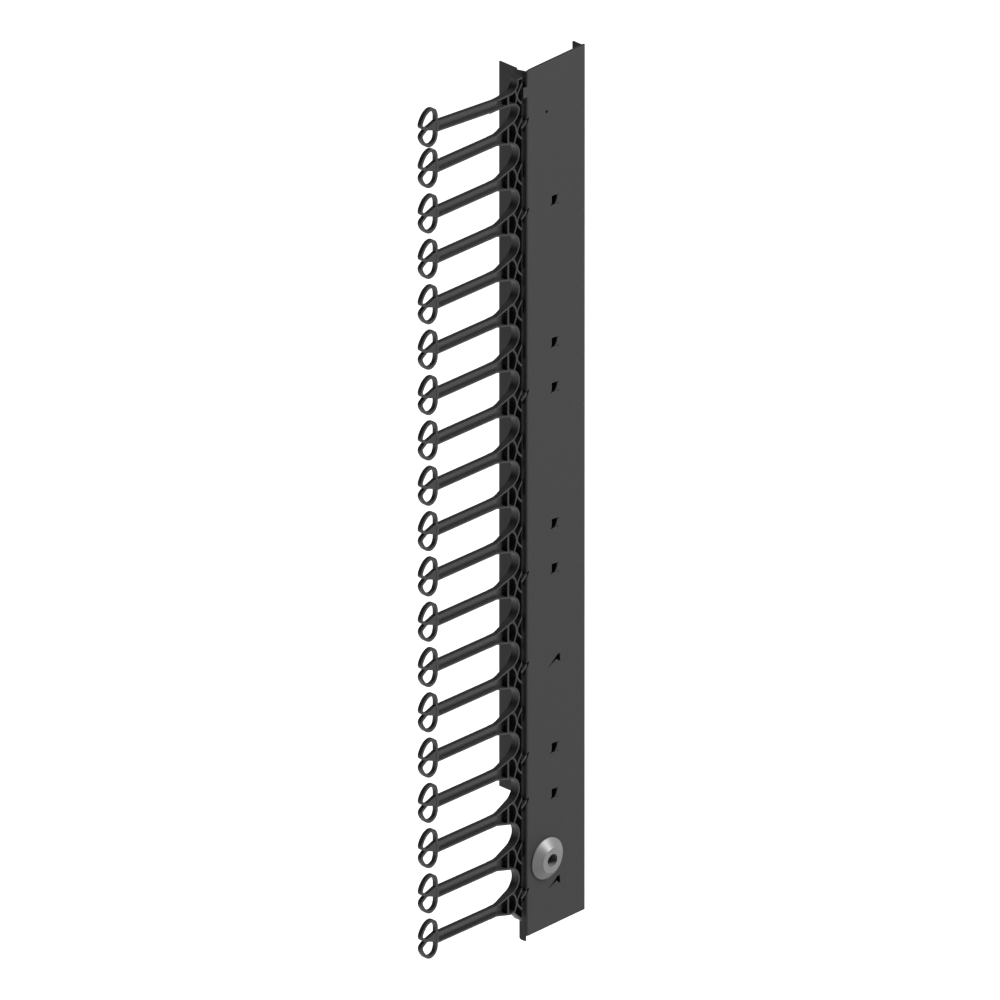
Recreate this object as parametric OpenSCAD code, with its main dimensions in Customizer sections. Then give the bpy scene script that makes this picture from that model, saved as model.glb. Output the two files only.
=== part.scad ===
// Vertical cable manager for an equipment rack: a tall sheet-metal face panel with a
// column of moulded cable fingers along its left edge, one finger per rack unit.
// Drawn with X across the panel, Y from the face towards the rack and Z up. The origin
// is the centre of the four rack screws, on the rear faces of the standoffs they enter.

/* [Panel] */
// Width of the face panel
panel_w = 75; // [72:0.5:90]
// Height of the face panel
panel_h = 848; // [847:0.5:850]
// Thickness of the panel and bracket sheet
sheet_t = 1.5; // [1.2:0.1:1.6]
// Depth of the panel's two side flanges
flange_d = 15; // [14:0.5:18]
// Outside radius of the panel's bends
bend_r = 2; // [1.8:0.1:2.4]

/* [Rear bracket] */
// Depth of the tall rear wall, from the panel's face
wall_d = 35; // [30:1:45]
// Height of the wall's lower end above the panel's lower edge
wall_z0 = 135.5; // [130:0.5:145]

/* [Fingers] */
// Vertical spacing of the fingers: one rack unit
unit = 44.45; // [44.45]
// Height of the lowest finger above the panel's lower edge
finger_z0 = 38.4; // [38:0.1:39]
// Clear height between two neighbouring fingers
gap_h = 34; // [32:0.5:34.5]
// Distance from the panel's edge to the finger's head
reach = 112; // [105:1:125]
// Depth of a finger, front to back
finger_d = 4.5; // [4:0.1:5]
// Depth of the moulding at its root
root_d = 8.5; // [8.2:0.1:9]
// Thickness of the front rims and ribs
rim_t = 1.6; // [1.4:0.1:1.8]
// Rise of a finger from root to head, per millimetre
rise = 0.019; // [0:0.001:0.025]
// Clear opening between the moulding's spine and the panel's flange
spine_gap = 4.2; // [4:0.1:4.6]

/* [Loop heads] */
// Width of the loop's band
loop_t = 2.7; // [2.2:0.1:3]
// Depth of the loop, front to back
loop_d = 4; // [3.5:0.1:4.4]

/* [Mounting boss] */
// Diameter at the base of the conical boss
boss_d1 = 39; // [36:0.5:42]
// Diameter of the boss's front ring
boss_d2 = 24.5; // [22:0.5:28]
// How far the boss stands out of the panel
boss_h = 7.2; // [5:0.1:8]
// Diameter of the bore in the boss
boss_bore = 12.2; // [8:0.1:14]
// Distance of the boss from the panel's left edge
boss_x = 25.2; // [25:0.1:30]
// Height of the boss above the panel's lower edge
boss_z = 68; // [66:0.5:70]

/* [Hidden] */

n_fing = 19;
eps = 0.01;
fy = 0.6;                                   // front plane of the moulding
half = unit / 2;
hh = gap_h / 2;                             // half height of a finger gap
fh = half - hh;                             // half height of a finger
apex = -9.8;                                // closed end of a finger gap
gap_r = 12;                                 // radius of the gap's closed end
flare_x = apex - 28;                        // where the finger starts to widen
back_t = 1.4;                               // wall behind the lattice pockets
lift1 = 10;                                 // the top finger's root sits this much lower
rise1 = 0.0925;                             // and it slants up more steeply
strip_top = 844.6;
strip_bot = 17;
mark_x = 35;
// rack screws
scr_dx = 50;
scr_dz = 17 * unit;
scr_x = 37.5;
scr_z = 423.8;
nut_h = 4.1;                                // standoff height behind the web
org = [scr_x, 2 * sheet_t + nut_h, scr_z];
pilot_z = 800;
// heights of the strap anchors
z_marks = [710, 570.7, 526.6, 393, 349, 173, 128];
a_marks = [259, 41];
hook_at = [2, 4, 8, 12, 14, 16, 17, 19];

function fz(k) = finger_z0 + (n_fing - k) * unit;
function root_z(k) = k == 1 ? fz(1) - lift1 : fz(k);

// ---- small helpers ----
module place() translate([-org[0], -org[1], -org[2]]) children();
// extrude a shape drawn in X and Z along Y, from y0 to y1
module ext(y0, y1) translate([0, y1, 0]) rotate([90, 0, 0]) linear_extrude(y1 - y0) children();
function arc(cx, cy, r, a0, a1, n) = [for (i = [0:n]) let (a = a0 + (a1 - a0) * i / n) [cx + r * cos(a), cy + r * sin(a)]];
function unitv(v) = v / norm(v);
// a straight bar between two points
module bar2d(p, q, t) {
    d = unitv(q - p);
    n = [-d[1], d[0]] * t / 2;
    polygon([p + n, q + n, q - n, p - n]);
}
// smooth curve through control points
function cr(a, b, c, d, t) = 0.5 * ((2 * b) + (c - a) * t + (2 * a - 5 * b + 4 * c - d) * t * t + (3 * b - a - 3 * c + d) * t * t * t);
function spline(p, n) = [for (i = [0:len(p) - 2], j = [0:n - 1])
        cr(p[max(i - 1, 0)], p[i], p[i + 1], p[min(i + 2, len(p) - 1)], j / n)];
function band(c, t) = let (m = len(c))
    let (nv = [for (i = [0:m - 1]) let (d = unitv(c[min(i + 1, m - 1)] - c[max(i - 1, 0)])) [-d[1], d[0]] * t / 2])
    concat([for (i = [0:m - 1]) c[i] + nv[i]], [for (i = [m - 1:-1:0]) c[i] - nv[i]]);

// ---- face panel ----
// bent channel section, open towards the rack
module channel2d() {
    t = sheet_t;
    r = bend_r;
    polygon(concat(
        [[0, flange_d]], arc(r, r, r, 180, 270, 5), arc(panel_w - r, r, r, 270, 360, 5), [[panel_w, flange_d]],
        [[panel_w - t, flange_d]], arc(panel_w - r, r, r - t, 360, 270, 3), arc(r, r, r - t, 270, 180, 3), [[t, flange_d]]));
}
// strap slot: a slanted window with two offset tails
module slot_z2d() polygon([[-3.4, 5.2], [1.5, 4.9], [3.2, 4.3], [5.0, 4.5], [5.6, 3.5], [3.9, 2.9], [3.4, 1.0],
                           [1.8, -2.6], [0.4, -4.4], [-2.2, -4.6], [-4.6, -4.9], [-5.2, -3.7], [-3.5, -2.3], [-3.2, 1.5]]);
// strap slot with one long slanted leg and a short upright one
module slot_a2d() polygon([[-8.3, -4.0], [-2.5, 0.2], [1.3, 2.7], [2.6, 4.3], [6.2, 4.5], [6.6, -3.1],
                           [4.6, -3.3], [3.1, -0.6], [0.4, -1.4], [-4.0, -3.0], [-7.9, -4.9]]);
module face_panel() color([0.17, 0.17, 0.18]) place() difference() {
    union() {
        translate([0, 0, 0]) linear_extrude(panel_h) channel2d();
        // foot of the left flange, below the panel's edge
        translate([0, 0, -5.5]) linear_extrude(6) intersection() {
            channel2d();
            translate([-1, bend_r]) square([sheet_t + 1, 9.1 - bend_r]);
        }
        // tongue beside the top finger
        translate([-4.4, 0, 823.3]) cube([6.4, sheet_t, 9.8]);
    }
    // flange ends: the left one slopes down from the panel's top corner
    translate([-1, 0, 0]) rotate([90, 0, 90]) linear_extrude(sheet_t + 1.5)
        polygon([[bend_r, panel_h - 0.4], [flange_d + 1, panel_h - 2.8], [flange_d + 1, panel_h + 5], [bend_r, panel_h + 5]]);
    translate([panel_w - sheet_t - 0.5, bend_r + 0.6, panel_h - 1.5]) cube([sheet_t + 2, 20, 10]);
    // left flange narrows at its foot
    translate([-1, 9.1, -10]) cube([sheet_t + 1.5, 20, strip_bot + 8]);
    translate([-1, 9.1 - 2.2, -5.5 - eps]) difference() {
        cube([sheet_t + 2, 3, 2.2]);
        translate([-1, 0, 2.2]) rotate([0, 90, 0]) cylinder(r = 2.2, h = 10, $fn = 48);
    }
    // strap slots and pilot hole
    for (z = z_marks) translate([mark_x, 0, z]) {
        ext(-1, sheet_t + 1) slot_z2d();
        translate([4.4, -1, -4.4]) rotate([-90, 0, 0]) cylinder(d = 1.6, h = 4, $fn = 24);
    }
    for (z = a_marks) translate([mark_x + 1, 0, z]) ext(-1, sheet_t + 1) slot_a2d();
    translate([boss_x, -1, pilot_z]) rotate([-90, 0, 0]) cylinder(d = 3.2, h = 4, $fn = 32);
    // hole for the boss's spigot
    translate([boss_x, -1, boss_z]) rotate([-90, 0, 0]) cylinder(d = 18.4, h = 4, $fn = 64);
    // slots for the fingers' barbs
    for (k = [1:n_fing]) translate([-1, 4.8, root_z(k) - 4.2]) cube([sheet_t + 2, 3.6, 8.4]);
    // rivet holes in both flanges
    for (z = rivet_zl) translate([-1, rivet_y, z]) rotate([0, 90, 0]) cylinder(r = 2.1, h = 4, $fn = 32);
    for (z = rivet_zr) translate([panel_w - 3, rivet_y, z]) rotate([0, 90, 0]) cylinder(r = 2.1, h = 6, $fn = 32);
    // notches that the fingers' snap hooks reach into
    for (k = hook_at) translate([0, 0, root_z(k)])
        ext(-1, bend_r + 2.6) polygon([[-1, 0.2], [1.2, 3.6], [2.9, 7.9], [2.1, 9.2], [-1, 5.2]]);
}

// ---- rear bracket ----
rivet_y = 9;
rivet_zl = [fz(18) + half, fz(14) + half, fz(10) + half, fz(6) + half, fz(2) + half];
rivet_zr = [40, 230, 424, 618, 808];
module bracket2d() {
    t = sheet_t;
    r = 2;
    w = panel_w;
    polygon(concat([[t, wall_d]], arc(t + r, t + r, r, 180, 270, 4), arc(w - t - r, t + r, r, 270, 360, 4), [[w - t, 13]],
        [[w - 2 * t, 13]], arc(w - t - r, t + r, r - t, 360, 270, 3), arc(t + r, t + r, r - t, 270, 180, 3), [[2 * t, wall_d]]));
}
module rear_bracket() color([0.12, 0.12, 0.13]) place() difference() {
    translate([0, 0, 2]) linear_extrude(panel_h - 2) bracket2d();
    // tall wall ends above the lowest fingers
    translate([0, 4.5, -5]) cube([sheet_t * 2 + 1, 60, wall_z0 + 5]);
    translate([0, 4, panel_h - 1.8]) cube([sheet_t * 2 + 1, 60, 5]);
    // corner relief at the top of the bend
    translate([0, 2.4, panel_h - 12]) cube([sheet_t * 2 + 1, 12, 20]);
    translate([panel_w - 5, 3.6, panel_h - 12]) cube([5, 20, 20]);
    // windows behind the strap slots
    for (z = z_marks) translate([mark_x - 6.2, 0, z - 6]) cube([12.9, 5, 12.2]);
    for (z = a_marks) translate([mark_x + 1 - 9.2, 0, z - 6]) cube([17.2, 5, 12.2]);
    translate([boss_x, 0, pilot_z]) rotate([-90, 0, 0]) cylinder(d = 3.2, h = 5, $fn = 32);
    translate([boss_x, 0, boss_z]) rotate([-90, 0, 0]) cylinder(d = 18.4, h = 5, $fn = 64);
    for (k = [1:16]) translate([0, 4.8, root_z(k) - 4.2]) cube([5, 3.6, 8.4]);
    for (z = rivet_zl) if (z > wall_z0) translate([0, rivet_y, z]) rotate([0, 90, 0]) cylinder(r = 2.1, h = 5, $fn = 32);
    for (z = rivet_zr) translate([panel_w - 5, rivet_y, z]) rotate([0, 90, 0]) cylinder(r = 2.1, h = 6, $fn = 32);
    // holes for the standoffs' shanks
    for (sx = [-1, 1], sz = [-1, 1]) translate([scr_x + sx * scr_dx / 2, 0, scr_z + sz * scr_dz / 2])
        rotate([-90, 0, 0]) cylinder(r = 4.1, h = 5, $fn = 48);
}

// ---- fasteners ----
module rivet() {
    cylinder(r = 2, h = 2 * sheet_t, $fn = 32);
    translate([0, 0, -1.4]) cylinder(r1 = 2.9, r2 = 3.5, h = 1.4, $fn = 32);
    translate([0, 0, 2 * sheet_t]) cylinder(r1 = 3.1, r2 = 2.5, h = 1.8, $fn = 32);
}
module bracket_rivets() color([0.25, 0.25, 0.26]) place() {
    for (z = rivet_zl) if (z > wall_z0) translate([0, rivet_y, z]) rotate([0, 90, 0]) rivet();
    for (z = rivet_zr) translate([panel_w, rivet_y, z]) rotate([0, -90, 0]) rivet();
}
// clinch standoff: shank pressed into the web, threaded body behind it
module rack_standoffs() color([0.7, 0.7, 0.72]) place()
    for (sx = [-1, 1], sz = [-1, 1]) translate([scr_x + sx * scr_dx / 2, sheet_t, scr_z + sz * scr_dz / 2])
        rotate([-90, 0, 0]) difference() {
            union() {
                cylinder(r = 4, h = sheet_t + eps, $fn = 48);
                translate([0, 0, sheet_t]) cylinder(r = 5.5, h = nut_h, $fn = 48);
            }
            translate([0, 0, -1]) cylinder(r = 2.5, h = 12, $fn = 48);
        }

// ---- strap anchors: black nylon cups behind the slots, with a bar to loop a strap round ----
module anchor(wx, wz, depth) {
    y0 = 2 * sheet_t;
    difference() {
        union() {
            translate([-wx / 2 - 3, y0, -wz / 2 - 3]) cube([wx + 6, 1.4, wz + 6]);
            translate([-wx / 2 - 1.2, y0, -wz / 2 - 1.2]) cube([wx + 2.4, depth, wz + 2.4]);
        }
        translate([-wx / 2, y0 - 1, -wz / 2]) cube([wx, depth - 0.4, wz]);
    }
    translate([-1.2, y0 + depth - 4.2, -wz / 2 - 0.6]) cube([2.4, 2, wz + 1.2]);
}
module strap_anchors() color([0.06, 0.06, 0.06]) place()
    for (z = z_marks) translate([mark_x + 0.2, 0, z]) anchor(12.4, 11.8, 9);
module side_anchors() color([0.06, 0.06, 0.06]) place()
    for (z = a_marks) translate([mark_x + 0.4, 0, z]) anchor(16.6, 11.8, 9);

// ---- mounting boss: cone on the face, spigot through both sheets, blind bore ----
module mounting_boss() color([0.45, 0.45, 0.46]) place() translate([boss_x, 0, boss_z]) rotate([90, 0, 0]) difference() {
    union() {
        rotate_extrude($fn = 96) polygon([[0, 0], [boss_d1 / 2, 0], [boss_d1 / 2, 1.2], [boss_d2 / 2, boss_h - 0.4],
                                          [boss_d2 / 2 - 0.4, boss_h], [0, boss_h]]);
        translate([0, 0, -9]) cylinder(d = 18, h = 9 + eps, $fn = 64);
    }
    translate([0, 0, -7.5]) cylinder(d = boss_bore, h = 20, $fn = 64);
    // groove for the retaining ring
    translate([0, 0, -5.1]) difference() {
        cylinder(d = 20, h = 1.9, $fn = 64);
        translate([0, 0, -1]) cylinder(d = 16.6, h = 4, $fn = 64);
    }
}
module boss_retainer() color([0.5, 0.5, 0.5]) place() translate([boss_x, 0, boss_z]) rotate([90, 0, 0])
    translate([0, 0, -4.6]) difference() {
        cylinder(d = 27, h = 1.4, $fn = 64);
        translate([0, 0, -1]) cylinder(d = 16.8, h = 4, $fn = 64);
        translate([-1.5, 0, -1]) cube([3, 20, 4]);
    }

// ---- cable fingers ----
// outline of a finger gap, grown by e; centred on z = 0, closed end at x = apex
module gap2d(e = 0) {
    c = [apex - gap_r, 0];
    re = gap_r + e;
    p = [flare_x + 0.138 * e, hh + e];
    v = p - c;
    a = atan2(v[1], v[0]) - acos(re / norm(v));   // where the flare leaves the round end
    polygon(concat([[-260, -hh - e], [p[0], -p[1]]], arc(c[0], c[1], re, -a, a, 30), [p, [-260, hh + e]]));
}
// gap below finger k, in the frame of that finger's root
module gap_below(k, e = 0) {
    if (k == 1) translate([0, lift1 - half]) intersection() {
        gap2d(e);
        // the first gap is shallower, with a tighter closed end
        union() {
            translate([apex - 8.6, -3.6]) circle(r = 8.6 + e, $fn = 96);
            polygon([[-300, -40], [apex - 8.6, -40], [apex - 8.6, 5 + e], [apex - 13, 6 + e], [flare_x, 7 + e], [-300, 7 + e]]);
            polygon([[apex - 8.7, -40], [apex + 4, -40], [apex + e + 0.01, -5], [apex - 8.7, -5]]);
        }
    }
    else translate([0, -half]) gap2d(e);
}
module gap_above(k, e = 0) {
    if (k == 1) {
        // top finger: a quarter turn up to the strip's top end
        zt = 5.2;
        translate([0, 0]) difference() {
            polygon([[-260, zt - e], [apex - 1.6 + e, zt - e], [apex - 1.6 + e, 40], [-260, 40]]);
            translate([apex - 1.6 + e - 8 - e, zt - e]) difference() {
                square([8 + e + 0.1, 8 + e]);
                translate([0, 8 + e]) circle(r = 8 + e, $fn = 96);
            }
        }
    }
    else if (k == 2) translate([0, half]) intersection() {
        gap2d(e);
        translate([-300, -40]) square([400, 60]);
    }
    else translate([0, half]) gap2d(e);
}
// whole root region of finger k
module root2d(k) difference() {
    zt = k == 1 ? strip_top - root_z(1) : half;
    zb = k == n_fing ? -half : (k == 1 ? lift1 - half : -half);
    translate([flare_x - 8, zb]) square([-spine_gap - flare_x + 8, zt - zb]);
    gap_above(k);
    if (k < n_fing) gap_below(k);
    else {
        translate([0, -half]) intersection() {
            gap2d(0);
            translate([-300, -5]) square([400, 60]);
        }
        // closed off by a slant wall down to the spine
        polygon([[-60, -fh - 3], [-17.5, -fh - 4.9], [-16, -9.5], [-5.8, strip_bot - finger_z0], [-5.8, -60], [-60, -60]]);
        translate([-60, -60]) square([80, 60 + strip_bot - finger_z0]);
    }
}
// ribs of the lattice: one upright, and two curved ones that meet back to back
module ribs2d() {
    bar2d([-22.9, -16], [-22.9, 16], 2);
    polygon(band(spline([[-19.4, 12.0], [-14.3, 6.6], [-12.5, 1.6], [-12.4, -2.6], [-14.2, -8.0], [-16.9, -13.6]], 4), rim_t));
    polygon(band(spline([[-2.6, 14.6], [-7.2, 7.6], [-10.9, 1.6], [-11.0, -2.6], [-7.6, -7.4], [-3.4, -11.6]], 4), rim_t));
    polygon([[-12.6, 1.8], [-10.8, 1.8], [-10.9, -2.6], [-12.5, -2.6]]);
}
// pockets between the rims and ribs
module pockets2d(k) difference() {
    intersection() {
        translate([flare_x + 1.2, -40]) square([-spine_gap - 1.4 - flare_x - 1.2, 80]);
        root2d(k);
    }
    difference() { gap_above(k, rim_t); gap_above(k); }
    if (k < n_fing) difference() { gap_below(k, rim_t); gap_below(k); }
    else {
        translate([0, -half]) difference() { gap2d(rim_t); translate([-300, -60]) square([400, 55]); }
        bar2d([-18, -8.2], [-5, strip_bot - finger_z0 + 0.4], 2.6);
        translate([-20, strip_bot - finger_z0]) square([20, 1.4]);
    }
    if (k == 1) translate([-30, strip_top - root_z(1) - 1.4]) square([30, 3]);
    ribs2d();
}
// side view of the moulding: deep at the root, thin at the finger
module depth_xy(off = 0) polygon([[-200, -1], [5, -1], [5, root_d - off], [-12, root_d - off], [-34, finger_d + 0.4 - off], [-200, finger_d + 0.4 - off]]);
// loop head, drawn with the finger's end at x = 0 and its axis at z = 0
lobe = [[-1.6, 3.0], [-1.5, 6.5], [-1.7, 10.5], [-3.9, 15.2], [-8.9, 17.4], [-14.2, 15.6], [-18.0, 11.6], [-20.3, 7.2], [-20.2, 4.4], [-18.2, 2.6], [-15.6, 1.0], [-14.4, -0.2]];
module head2d() {
    for (s = [0, 1]) mirror([0, s]) polygon(band(spline(lobe, 4), loop_t));
    // tapered tongue that joins the two lobes
    polygon([[0.2, -5.4], [0.2, 4.6], [-3.5, 4.4], [-8.4, 2.7], [-12.4, 1.5], [-15.4, 1.5], [-16.4, 0], [-15.4, -1.3], [-12.0, -1.5], [-7.0, -3.4], [-3.2, -5.2]]);
}
module finger(k) {
    rs = k == 1 ? rise1 : rise;
    tip = -reach;
    dz = rs * (reach + flare_x);
    head_z = k == 1 ? dz + 1.6 : dz + 1.6;
    ang = atan(rs);
    color([0.09, 0.09, 0.095]) place() translate([0, fy, root_z(k)]) {
        difference() {
            // root lattice and finger
            union() {
                intersection() {
                    ext(0, root_d) root2d(k);
                    translate([0, 0, -40]) linear_extrude(80) depth_xy();
                }
                ext(0, finger_d) polygon([[flare_x + 0.2, -fh], [flare_x + 0.2, fh], [tip, fh + dz], [tip - 2, fh + dz - 0.6], [tip - 2, -fh + dz + 0.6], [tip, -fh + dz]]);
            }
            intersection() {
                ext(-1, root_d) pockets2d(k);
                translate([0, 0, -40]) linear_extrude(80) depth_xy(back_t);
            }
            // spine, set back from the front rims
            translate([-spine_gap - 1.3, -1, -40]) cube([6, 2, 80]);
            // tapered groove along the finger's front
            translate([flare_x, 0, 0]) rotate([0, ang, 0]) translate([-reach - flare_x + 1, 0, 0])
                rotate([90, 0, 90]) linear_extrude(reach + flare_x + 1)
                    polygon([[-1, fh - 1.2], [0.3, fh - 1.2], [1.1, 1.2], [2.6, -fh + rim_t], [-1, -fh + rim_t]]);
        }
        // loop head
        translate([tip, 0, head_z]) ext(0.2, 0.2 + loop_d) head2d();
        // foot against the panel's flange, and the barb through it
        translate([-11, 4.4, -6.5]) cube([11, root_d - 4.4, 13]);
        xb = k < 17 ? 2 * sheet_t : sheet_t;
        translate([-1, 4.9 - fy + 0.2, -3.9]) cube([xb + 1.4, 3, 7.8]);
        translate([xb + 0.3, 4.9 - fy + 0.2, 0]) rotate([-90, 0, 0]) linear_extrude(3)
            polygon([[0, -4.9], [0.7, -4.9], [2.4, -3.4], [2.4, 3.4], [0.7, 4.9], [0, 4.9]]);
        // snap hook that reaches over the panel's edge
        if (len([for (h = hook_at) if (h == k) 1]) > 0)
            for (d = [[0, 2], [2, 4.7]]) ext(d[0], d[1]) intersection() {
                translate([-9, -9]) square([d[0] == 0 ? 12 : 8.7, 18]);
                polygon([[-6.4, 0.4], [-4.6, 0.4], [0.9, 4.4], [0.9, 6.4], [-0.2, 6.4], [-5.4, 2.2], [-6.4, 2.2]]);
            }
    }
}
module finger_01() finger(1);
module finger_02() finger(2);
module finger_03() finger(3);
module finger_04() finger(4);
module finger_05() finger(5);
module finger_06() finger(6);
module finger_07() finger(7);
module finger_08() finger(8);
module finger_09() finger(9);
module finger_10() finger(10);
module finger_11() finger(11);
module finger_12() finger(12);
module finger_13() finger(13);
module finger_14() finger(14);
module finger_15() finger(15);
module finger_16() finger(16);
module finger_17() finger(17);
module finger_18() finger(18);
module finger_19() finger(19);

face_panel();
rear_bracket();
bracket_rivets();
rack_standoffs();
strap_anchors();
side_anchors();
mounting_boss();
boss_retainer();
finger_01();
finger_02();
finger_03();
finger_04();
finger_05();
finger_06();
finger_07();
finger_08();
finger_09();
finger_10();
finger_11();
finger_12();
finger_13();
finger_14();
finger_15();
finger_16();
finger_17();
finger_18();
finger_19();
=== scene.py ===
import math
import bpy
from mathutils import Vector, Matrix


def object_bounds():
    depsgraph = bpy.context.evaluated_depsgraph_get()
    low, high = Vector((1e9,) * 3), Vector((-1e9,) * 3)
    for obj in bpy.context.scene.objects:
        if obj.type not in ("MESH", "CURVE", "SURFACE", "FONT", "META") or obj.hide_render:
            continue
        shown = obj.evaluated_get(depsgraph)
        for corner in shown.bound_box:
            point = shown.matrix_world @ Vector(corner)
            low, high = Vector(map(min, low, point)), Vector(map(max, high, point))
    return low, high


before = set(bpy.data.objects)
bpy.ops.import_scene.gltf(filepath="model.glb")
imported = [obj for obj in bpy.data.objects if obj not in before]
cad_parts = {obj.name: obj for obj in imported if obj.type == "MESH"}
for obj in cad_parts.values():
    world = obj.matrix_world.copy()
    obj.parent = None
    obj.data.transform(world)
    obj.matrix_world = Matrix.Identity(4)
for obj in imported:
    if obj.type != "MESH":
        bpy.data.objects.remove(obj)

cad_lo, cad_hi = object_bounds()
MM = 0.001
scene = bpy.context.scene
scene.view_settings.view_transform = "Standard"
scene.view_settings.look = "None"
scene.view_settings.exposure = 0.0
scene.view_settings.gamma = 1.0


# ---------------------------------------------------------------- materials
def mat(name, base, rough, vary=0.15, grain=700.0, grain_h=0.00004, edge=0.0003, blotch=14.0,
        rough_var=0.08, metallic=0.0, spec=0.5, wear=None, streak=False):
    m = bpy.data.materials.new(name)
    m.use_nodes = True
    nt = m.node_tree
    N, L = nt.nodes, nt.links
    N.clear()
    out = N.new("ShaderNodeOutputMaterial")
    bs = N.new("ShaderNodeBsdfPrincipled")
    L.new(bs.outputs["BSDF"], out.inputs["Surface"])
    bs.inputs["Metallic"].default_value = metallic
    bs.inputs["Specular IOR Level"].default_value = spec
    tc = N.new("ShaderNodeTexCoord")
    # fine grain and slow blotches vary the colour
    n1 = N.new("ShaderNodeTexNoise")
    n1.inputs["Scale"].default_value = grain
    n1.inputs["Detail"].default_value = 3.0
    n2 = N.new("ShaderNodeTexNoise")
    n2.inputs["Scale"].default_value = blotch
    n2.inputs["Detail"].default_value = 4.0
    if streak:
        mp = N.new("ShaderNodeMapping")
        mp.inputs["Scale"].default_value = (1.0, 1.0, 0.05)
        L.new(tc.outputs["Object"], mp.inputs["Vector"])
        L.new(mp.outputs["Vector"], n1.inputs["Vector"])
    else:
        L.new(tc.outputs["Object"], n1.inputs["Vector"])
    L.new(tc.outputs["Object"], n2.inputs["Vector"])
    add = N.new("ShaderNodeMath"); add.operation = "MULTIPLY_ADD"
    L.new(n2.outputs["Fac"], add.inputs[0]); add.inputs[1].default_value = 0.5
    L.new(n1.outputs["Fac"], add.inputs[2])
    ramp = N.new("ShaderNodeValToRGB")
    ramp.color_ramp.elements[0].position = 0.45
    ramp.color_ramp.elements[1].position = 1.0
    lo = [c * (1 - vary) for c in base]; hi = [min(1, c * (1 + vary)) for c in base]
    ramp.color_ramp.elements[0].color = (*lo, 1)
    ramp.color_ramp.elements[1].color = (*hi, 1)
    L.new(add.outputs[0], ramp.inputs["Fac"])
    col = ramp.outputs["Color"]
    if wear:
        n3 = N.new("ShaderNodeTexNoise")
        n3.inputs["Scale"].default_value = 55.0
        n3.inputs["Detail"].default_value = 6.0
        n3.inputs["Roughness"].default_value = 0.75
        L.new(tc.outputs["Object"], n3.inputs["Vector"])
        r3 = N.new("ShaderNodeValToRGB")
        r3.color_ramp.elements[0].position = 0.68
        r3.color_ramp.elements[1].position = 0.80
        L.new(n3.outputs["Fac"], r3.inputs["Fac"])
        mx = N.new("ShaderNodeMix"); mx.data_type = "RGBA"
        L.new(r3.outputs["Color"], mx.inputs["Factor"])
        L.new(col, mx.inputs["A"])
        mx.inputs["B"].default_value = (*wear, 1)
        col = mx.outputs["Result"]
    L.new(col, bs.inputs["Base Color"])
    rr = N.new("ShaderNodeMapRange")
    rr.inputs["To Min"].default_value = max(0.05, rough - rough_var)
    rr.inputs["To Max"].default_value = min(1.0, rough + rough_var)
    L.new(n2.outputs["Fac"], rr.inputs["Value"])
    L.new(rr.outputs["Result"], bs.inputs["Roughness"])
    bv = N.new("ShaderNodeBevel")
    bv.samples = 4
    bv.inputs["Radius"].default_value = edge
    bp = N.new("ShaderNodeBump")
    bp.inputs["Strength"].default_value = 0.6
    bp.inputs["Distance"].default_value = grain_h
    L.new(n1.outputs["Fac"], bp.inputs["Height"])
    L.new(bv.outputs["Normal"], bp.inputs["Normal"])
    L.new(bp.outputs["Normal"], bs.inputs["Normal"])
    return m


powder = mat("powder_coat_black", (0.0085, 0.0085, 0.009), 0.65, vary=0.16, grain=620.0, grain_h=0.00006, edge=0.0005, spec=0.3)
powder_in = mat("powder_coat_bracket", (0.010, 0.010, 0.0105), 0.6, vary=0.16, grain=620.0, grain_h=0.00006, edge=0.0005, spec=0.35)
moulded = mat("moulded_black", (0.007, 0.007, 0.0074), 0.5, vary=0.10, grain=1500.0, grain_h=0.00001, edge=0.00035, blotch=30.0, spec=0.3)
# anchor material: black nylon, set darker than the moulded plastic as painted shade so the slots and cavities behind
# the panel read black
anchor_nylon_shade = mat("nylon_black", (0.004, 0.004, 0.004), 0.7, vary=0.1, grain=1500.0, grain_h=0.00001, edge=0.0003, spec=0.2)
boss = mat("boss_grey", (0.075, 0.075, 0.077), 0.45, vary=0.05, grain=1100.0, grain_h=0.00001, edge=0.0004, blotch=40.0)
rivetm = mat("rivet_black", (0.022, 0.022, 0.023), 0.4, vary=0.12, grain=900.0, grain_h=0.00002, edge=0.0002, wear=(0.06, 0.06, 0.062))
zinc = mat("zinc_plated", (0.55, 0.56, 0.58), 0.34, vary=0.10, grain=900.0, grain_h=0.00001, edge=0.0002, metallic=1.0)

paint = {"face_panel": powder, "rear_bracket": powder_in, "bracket_rivets": rivetm, "rack_standoffs": zinc,
         "strap_anchors": anchor_nylon_shade, "side_anchors": anchor_nylon_shade, "mounting_boss": boss, "boss_retainer": zinc}
for name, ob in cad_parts.items():
    m = paint.get(name, moulded)
    ob.data.materials.clear()
    ob.data.materials.append(m)

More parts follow.
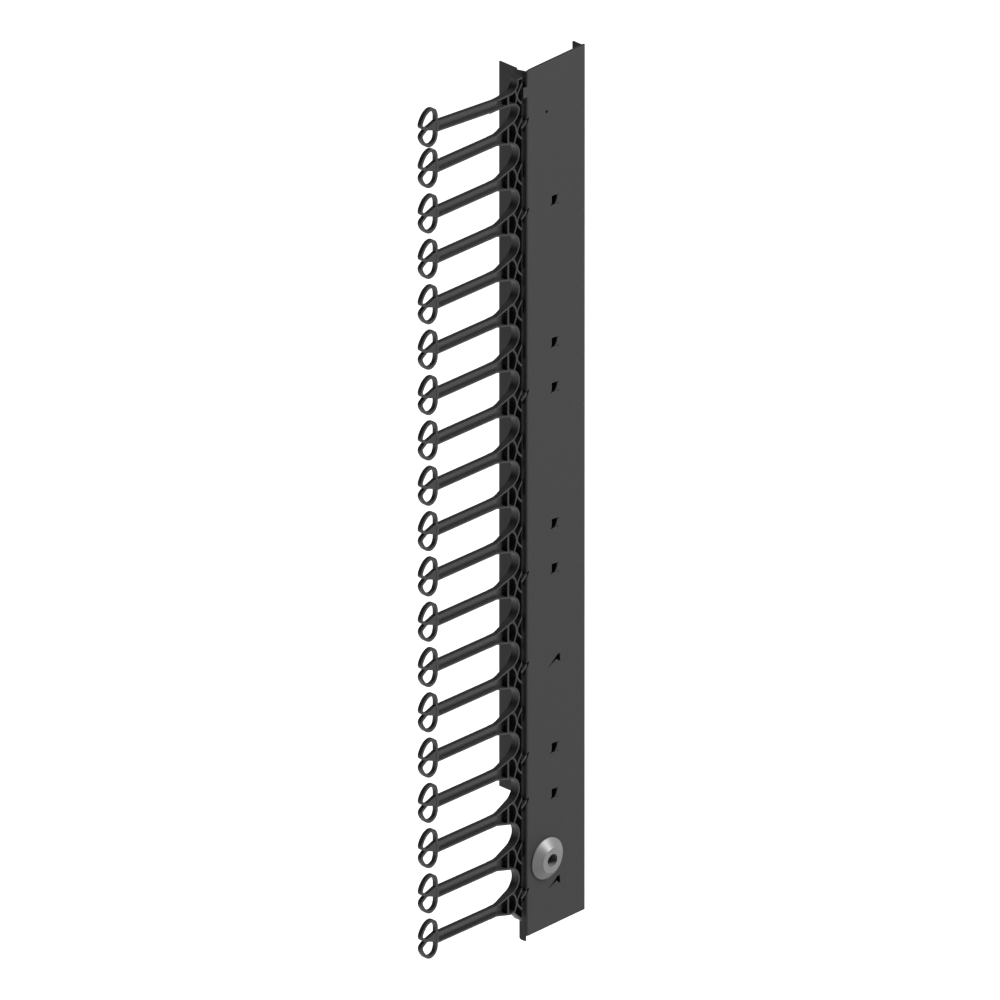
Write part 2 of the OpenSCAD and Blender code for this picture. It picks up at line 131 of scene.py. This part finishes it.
# ---------------------------------------------------------------- studio
fm = mat("studio_floor", (0.9, 0.9, 0.9), 0.8, vary=0.01, grain=3.0, grain_h=0.0, edge=0.0, blotch=0.4, spec=0.1)
bpy.ops.mesh.primitive_plane_add(size=60, location=(0, 0, cad_lo.z - 1.3))
floor = bpy.context.object
floor.name = "studio_floor"
floor.data.materials.append(fm)

w = bpy.data.worlds.new("studio")
scene.world = w
w.use_nodes = True
bg = w.node_tree.nodes["Background"]
bg.inputs["Color"].default_value = (1, 1, 1, 1)
bg.inputs["Strength"].default_value = 0.12


def aim(ob, target):
    d = Vector(target) - ob.location
    ob.rotation_euler = d.to_track_quat("-Z", "Y").to_euler()


sd = bpy.data.lights.new("sun", "SUN")
sd.energy = 5.2
sd.angle = math.radians(24)
so = bpy.data.objects.new("sun", sd)
scene.collection.objects.link(so)
so.location = (0.35, -0.60, 0.72)
aim(so, (0, 0, 0))


def area(name, loc, target, size, power):
    ld = bpy.data.lights.new(name, "AREA")
    ld.shape = "DISK"
    ld.size = size
    ld.energy = power
    lo = bpy.data.objects.new(name, ld)
    scene.collection.objects.link(lo)
    lo.location = loc
    aim(lo, target)
    return lo


area("key", (0.9, -1.7, 1.9), (0, 0, 0.1), 1.0, 110.0)

# ---------------------------------------------------------------- camera
AZ, EL, ROLL, DIST, FPX, CX, CY = -46.423, 26.672, 0.0, 150.0, 171092.8, 50.42, -11.36
a, e = math.radians(AZ), math.radians(EL)
back = Vector((math.sin(a) * math.cos(e), -math.cos(a) * math.cos(e), math.sin(e)))
right = Vector((math.cos(a), math.sin(a), 0))
up = back.cross(right)
cd = bpy.data.cameras.new("camera")
cd.sensor_width = 36.0
cd.lens = FPX / 1000.0 * 36.0
cd.clip_start = 0.5
cd.clip_end = 400.0
cam = bpy.data.objects.new("camera", cd)
scene.collection.objects.link(cam)
cam.location = back * DIST - right * (CX / FPX * DIST) + up * (CY / FPX * DIST)
R = Matrix((right, up, back)).transposed()
cam.rotation_euler = (R @ Matrix.Rotation(math.radians(ROLL), 3, "Z")).to_euler()
scene.camera = cam

bpy.context.view_layer.update()
